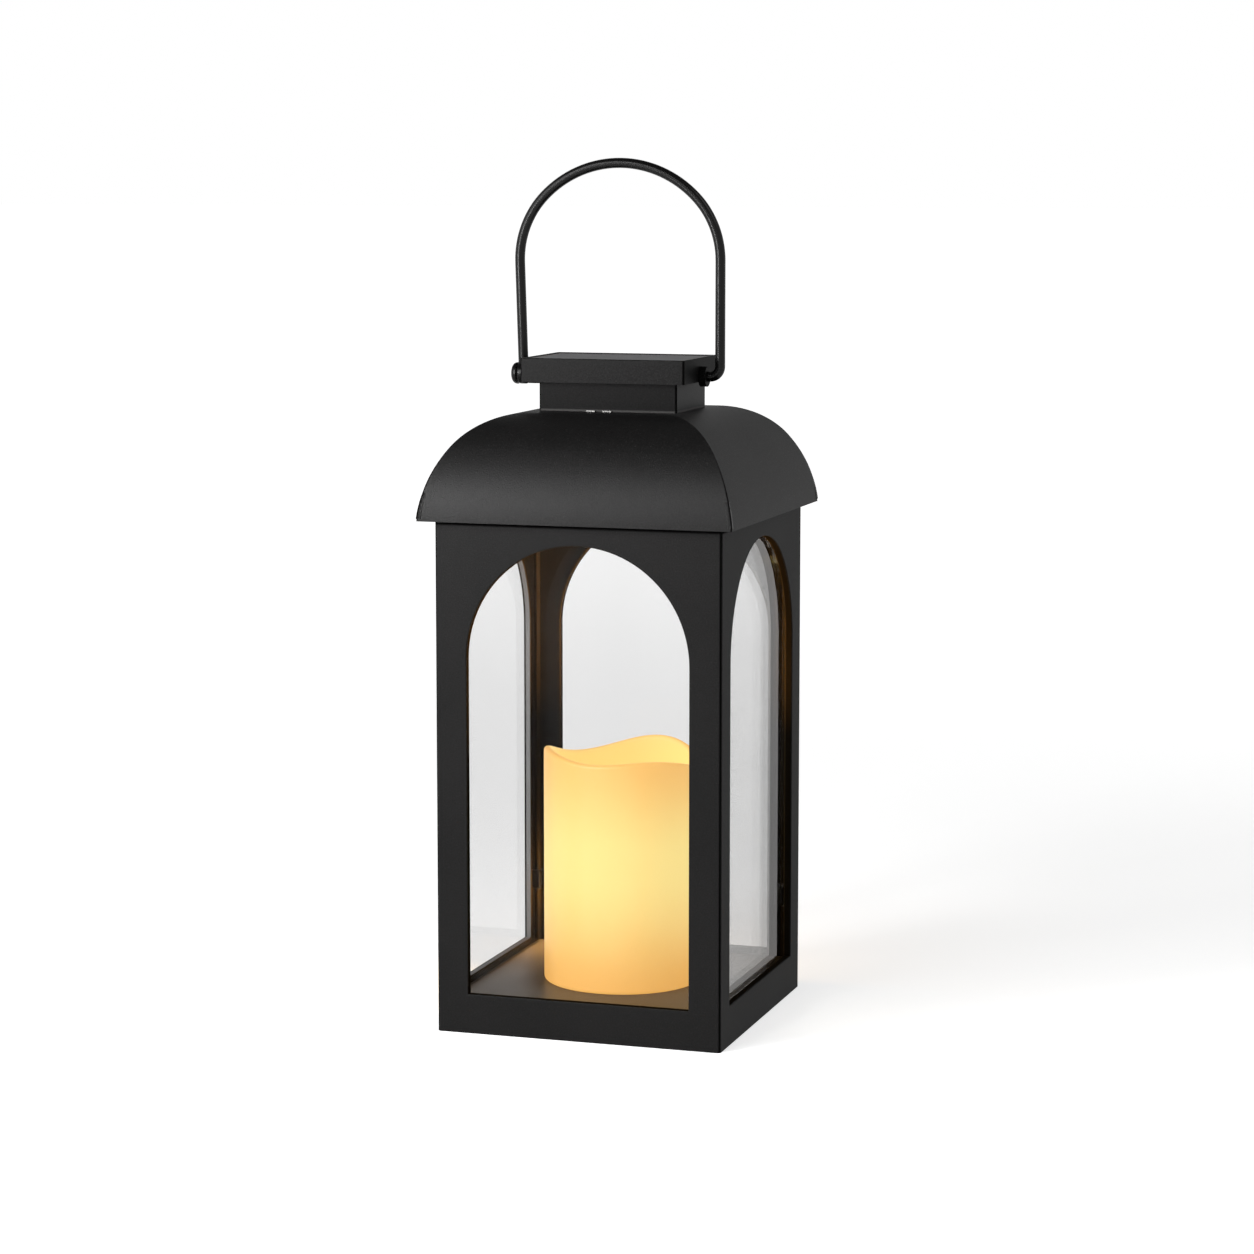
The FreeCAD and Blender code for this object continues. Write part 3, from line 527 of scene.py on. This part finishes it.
tree, place = start_finish("panel_resin")
dust = noise(place, dust_per_metre, 4)
resin = dust.mix(srgb(52, 44, 39), srgb(72, 62, 55))
close_finish(tree, {"Base Color": resin, "Roughness": dust * 0.12 + resin_roughness,
                    "Specular IOR Level": resin_shine})

tree, place = start_finish("cell_film")
cloud = noise(place, film_clouds_per_metre, 3)
film = cloud.mix(srgb(26, 27, 34), srgb(42, 42, 50))
lines = tree.maths("PINGPONG", place.part(1), line_pitch / 2).rise(*line_edge)
lined = (lines * line_share).mix(film, line_silver)
close_finish(tree, {"Base Color": lined, "Roughness": cloud * 0.1 + resin_roughness,
                    "Specular IOR Level": resin_shine})
print("panel lines every", line_pitch, "m")

# %% [markdown]
# ## Small parts
# Moulded plastic, plated screws, the cell's sleeve and the board are seen only from below or with the head
# open, and the bright tabs at the neck's foot from the front. Each gets its own grain. They differ only in
# two colours, gloss, grain and whether they are metal, so one function makes them all.

# %% Small parts
moulding_grain = 0.00003


def moulded(name, dark, pale, gloss, per_metre=600, metallic=0.0):
    """A fine even grain between two colours, rougher where it is paler."""
    tree, place = start_finish(name)
    fine = noise(place, per_metre, 3)
    close_finish(tree, {"Base Color": fine.mix(dark, pale), "Roughness": fine * 0.15 + gloss,
                        "Metallic": metallic}, fine, moulding_grain)


moulded("black_moulding", srgb(24, 24, 25), srgb(36, 36, 37), gloss=0.40)
moulded("white_moulding", srgb(214, 210, 200), srgb(232, 229, 220), gloss=0.45)
moulded("lamp_resin", srgb(250, 240, 200), srgb(255, 250, 220), gloss=0.2)
moulded("dark_steel", srgb(20, 20, 20), srgb(44, 43, 42), gloss=0.28)
moulded("plated_steel", srgb(150, 150, 150), srgb(190, 189, 186), gloss=0.25, per_metre=900, metallic=1.0)
moulded("tab_steel", srgb(96, 95, 94), srgb(150, 149, 147), gloss=0.30, per_metre=900, metallic=1.0)
moulded("battery_sleeve", srgb(30, 88, 62), srgb(44, 108, 78), gloss=0.30, per_metre=200)
moulded("board_laminate", srgb(20, 72, 44), srgb(34, 92, 58), gloss=0.40, per_metre=1400)
moulded("grommet_rubber", srgb(18, 18, 18), srgb(34, 34, 34), gloss=0.60, per_metre=900)
print("finishes so far:", len(finishes))

# %% [markdown]
# ## Glowing wax
# The lamp stands inside the shell, so the wax is brightest a little above half height and turns from pale
# yellow to amber towards the foot and the rim. Light scattered through wax could be traced, but it takes
# long and comes out noisy. So the glow is the wax's own Emission Color, and a cream base takes the
# daylight that comes in through the windows.

# %% Wax
cream = srgb(180, 142, 85)
foot_amber = srgb(245, 182, 94)
belly_yellow = srgb(255, 233, 146)
rim_amber = srgb(246, 186, 99)
well_yellow = srgb(255, 217, 131)
wax_clouds_per_metre = 22
cloud_shift = 0.012
wax_grain = 0.0006
wax_roughness = 0.38
wax_shine = 0.4
rim_share = 0.9

lamp_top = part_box("lamp")[1].z
shell_low, shell_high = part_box("candle_shell")
foot_z, rim_z, shell_radius = shell_low.z, shell_high.z, shell_high.x
fades_above = lamp_top + 0.008
well_edge = (shell_radius - 0.0032, shell_radius - 0.0022)


def wax(name, strength):
    """Cream wax that glows by its height outside, and evenly inside the well."""
    tree, place = start_finish(name)
    cloud = noise(place, wax_clouds_per_metre, 3)
    level = place.part(2) + (cloud - 0.5) * cloud_shift
    outside = level.rise(foot_z, lamp_top).mix(foot_amber, belly_yellow)
    outside = (level.rise(fades_above, rim_z) * rim_share).mix(outside, rim_amber)
    flat = tree.node("VectorMath", {"operation": "MULTIPLY"}, {0: place, 1: (1, 1, 0)})
    in_well = 1 - flat.length().rise(*well_edge)
    glow = in_well.mix(outside, well_yellow)
    close_finish(tree, {"Base Color": cream, "Roughness": cloud * 0.1 + wax_roughness,
                        "Specular IOR Level": wax_shine, "Emission Color": glow,
                        "Emission Strength": strength}, cloud, wax_grain)


wax("wax_shell", strength=0.875)
wax("well_glow", strength=0.80)
print("wax from", round(foot_z, 4), "to", round(rim_z, 4))

# %% [markdown]
# ## The candle
# The shell is poured, and its rim has melted into soft waves. It could be sculpted, but three waves, once,
# twice and three times round, give a rim that never repeats on itself and can be set by a few numbers. A
# cylinder gets rings of edges below the rim, a wall inwards and round lips, and then the waves lift its top.

# %% Candle shell
candle_sides = 160
shell_wall = 0.0040
rim_mean = 0.1264
bend_below = 0.030
rings_below = (0.004, 0.010, 0.018, bend_below)
# Times round, height in metres and turn in degrees of each wave.
waves = ((1, 0.0010, -152), (2, 0.0018, 66), (3, 0.0025, -43))


def rim_lift(x, y):
    """How far the melted rim stands above its mean height, at a place round the candle."""
    round_z = math.atan2(y, x)
    return sum(rise * math.cos(count * (round_z - math.radians(turn))) for count, rise, turn in waves)


bpy.ops.object.select_all(action="DESELECT")
bpy.ops.mesh.primitive_cylinder_add(vertices=candle_sides, radius=shell_radius, depth=rim_mean - foot_z,
                                    end_fill_type="NOTHING", location=(0, 0, (rim_mean + foot_z) / 2))
candle = bpy.context.object
candle.name = "candle_wax"
bpy.ops.object.transform_apply(location=True)
bpy.ops.object.mode_set(mode="EDIT")
for drop in rings_below:
    bpy.ops.mesh.select_all(action="SELECT")
    bpy.ops.mesh.bisect(plane_co=(0, 0, rim_mean - drop), plane_no=(0, 0, 1))
bpy.ops.object.mode_set(mode="OBJECT")
print("candle tube:", len(candle.data.vertices), "points")

# %% Candle wall and lips
rim_round = 0.0017
rim_steps = 5
rim_angle = math.radians(60)
candle_smooth = math.radians(50)

wall_modifier = candle.modifiers.new("wall", "SOLIDIFY")
wall_modifier.thickness = shell_wall
wall_modifier.offset = -1
bpy.ops.object.modifier_apply(modifier="wall")
lips = candle.modifiers.new("lips", "BEVEL")
lips.width = rim_round
lips.segments = rim_steps
lips.limit_method = "ANGLE"
lips.angle_limit = rim_angle
bpy.ops.object.modifier_apply(modifier="lips")
for point in candle.data.vertices:
    share = max(0.0, (point.co.z - rim_mean + bend_below) / bend_below)
    point.co.z += share * share * rim_lift(point.co.x, point.co.y)
bpy.ops.object.shade_smooth_by_angle(angle=candle_smooth)
candle.data.materials.append(finishes["wax_shell"])
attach(candle, "lantern")
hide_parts("candle_shell")
candle_top = max(point.co.z for point in candle.data.vertices)
print("candle:", len(candle.data.polygons), "faces, top", round(candle_top, 4))

# %% [markdown]
# ## Seam strips
# A thin strip of sheet covers each hip of the roof low down. Its upper end is dressed down with a hammer
# until it runs out into the roof. The strip of the frame has that end square, so a copy of it is sunk, more
# and more towards the top, and stands in for it. A copy fits the curved hip at once, which a new strip
# would have to be bent to.

# %% Seam strips
seam_low, seam_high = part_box("hip_seams")
sunk_in = 0.00032
sunk_down = 0.00020
same_point = 0.000001
seam_smooth = math.radians(30)

bpy.ops.object.select_all(action="DESELECT")
strips = bpy.data.objects.new("seam_strips", nodes["hip_seams"].data.copy())
bpy.context.scene.collection.objects.link(strips)
strips.select_set(True)
bpy.context.view_layer.objects.active = strips
bpy.ops.object.mode_set(mode="EDIT")
bpy.ops.mesh.select_all(action="SELECT")
bpy.ops.mesh.remove_doubles(threshold=same_point)
bpy.ops.object.mode_set(mode="OBJECT")
for point in strips.data.vertices:
    share = (point.co.z - seam_low.z) / (seam_high.z - seam_low.z)
    inwards = (math.copysign(sunk_in, point.co.x), math.copysign(sunk_in, point.co.y), sunk_down)
    point.co -= Vector(inwards) * share
bpy.ops.object.shade_smooth_by_angle(angle=seam_smooth)
strips.data.materials.clear()
strips.data.materials.append(finishes["black_paint"])
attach(strips, "lantern")
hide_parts("hip_seams")
print("seam strips:", len(strips.data.polygons), "faces, z from and to", rounded((seam_low.z, seam_high.z)))

# %% [markdown]
# ## The candle's light
# The open top throws warm light up into the roof and on to the corner posts. The wax's glow alone is too
# weak for that, and more of it would turn the candle white. So a small lamp in the well throws the light
# upwards, and a second one, hidden behind the candle, warms the far corner post.

# %% Candle light
amber_light = (1.0, 0.56, 0.17)
well_lamp_height = rim_mean + 0.004
well_lamp_width = 0.05
post_glow_place = (-0.054, 0.054, 0.045)
post_glow_radius = 0.008


def candle_light(lamp, name, watts):
    """Names a lamp of the candle, and keeps it out of sight and out of reflections."""
    lamp.name = name
    lamp.data.energy = watts
    lamp.data.color = amber_light
    lamp.visible_glossy = False
    lamp.visible_camera = False
    print(name, watts, "W")


bpy.ops.object.light_add(type="AREA", location=(0, 0, well_lamp_height), rotation=(math.pi, 0, 0))
bpy.context.object.data.shape = "DISK"
bpy.context.object.data.size = well_lamp_width
candle_light(bpy.context.object, "well_lamp", watts=2.0)

bpy.ops.object.light_add(type="POINT", location=post_glow_place)
bpy.context.object.data.shadow_soft_size = post_glow_radius
candle_light(bpy.context.object, "post_glow", watts=0.26)

# %% [markdown]
# ## Dressing the frame
# Each piece of the frame names the finish it should have, so most of them are dressed by that name. The
# walls and the sides of the roof have the lit and shaded copies of the coat, the floor its painted
# reflection, the head and the handle a coat of their own, the clips share the handle's, the right pane has
# the stronger film, and the disc in the candle's well glows with it.

# %% Dress
own_finish = {"wall_front": "wall_shade_coat", "wall_back": "wall_shade_coat",
              "wall_left": "left_shade_coat", "wall_right": "right_shade_coat",
              "roof_left": "roof_side_lit_coat", "roof_right": "roof_side_lit_coat",
              "floor_tray": "floor_reflection_coat", "neck_box": "neck_paint", "solar_cap": "cap_paint",
              "handle": "handle_paint", "handle_pin": "handle_paint", "pane_clips": "handle_paint",
              "neck_tabs": "tab_steel", "pane_right": "bright_film_glass", "candle_diffuser": "well_glow"}
for part in frame["record"]["subparts"]:
    name = part["node"]
    finish = finishes[own_finish.get(name, part["material_slot"])]
    nodes[name].data.materials.clear()
    nodes[name].data.materials.append(finish)
